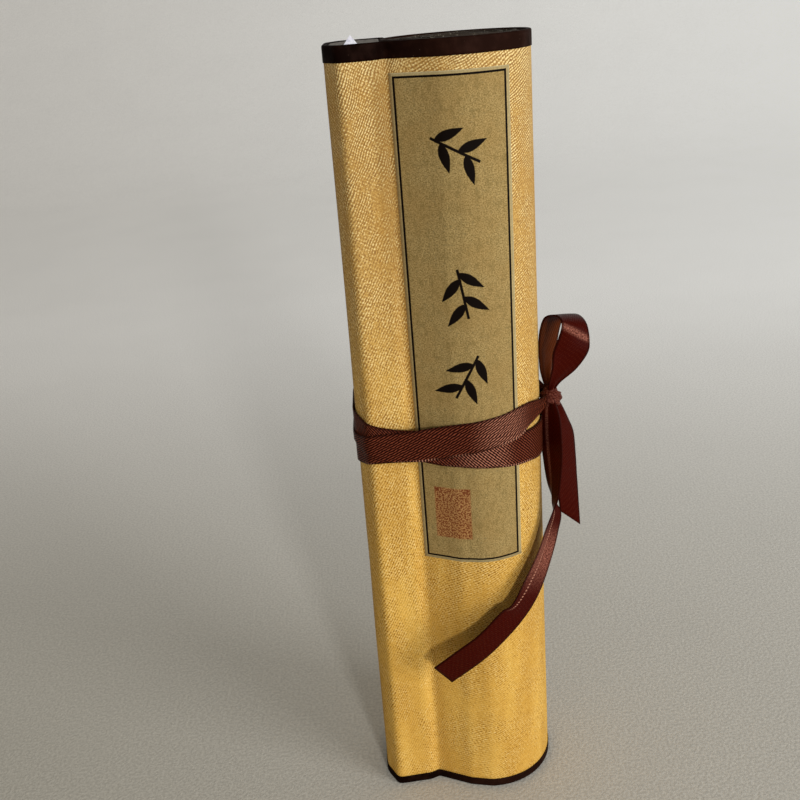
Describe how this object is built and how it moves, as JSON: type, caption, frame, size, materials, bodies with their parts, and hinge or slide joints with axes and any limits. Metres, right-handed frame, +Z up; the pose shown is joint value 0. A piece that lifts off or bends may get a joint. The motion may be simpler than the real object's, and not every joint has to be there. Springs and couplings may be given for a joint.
{
  "type": "rolled paper scroll",
  "caption": "Rolled scroll of yellow brocade on paper with a flat batten in its outer end, dark edging tapes, a tall title slip and a brown ribbon tied in a half bow; stands on its end.",
  "frame": {"origin": "on the floor, at the axis of the roll", "axes": "+Z up the axis of the roll; the title slip faces -Y; the batten lies on the -X side and the knot on the +X side"},
  "size_m": [0.0754, 0.0509, 0.2523],
  "materials": {
    "brocade": "woven brocade on paper, soft sheen",
    "batten_wood": "bare end grain, weathered grey",
    "edging_tape": "dark brown tape, faint sheen",
    "slip_paper": "matt laid paper with fine speckle",
    "dark_print": "matt ink",
    "red_print": "matt mottled red ink",
    "white_paper": "matt thin paper",
    "ribbon_cloth": "twill ribbon with a dull sheen"
  },
  "bodies": {
    "root": {"rolled_sheet": "brocade", "batten": "batten_wood", "top_edging": "edging_tape", "bottom_edging": "edging_tape", "title_slip": "slip_paper", "printed_frame": "dark_print", "printed_sprigs": "dark_print", "printed_field": "red_print", "paper_corner": "white_paper", "ribbon": "ribbon_cloth"}
  },
  "joints": []
}
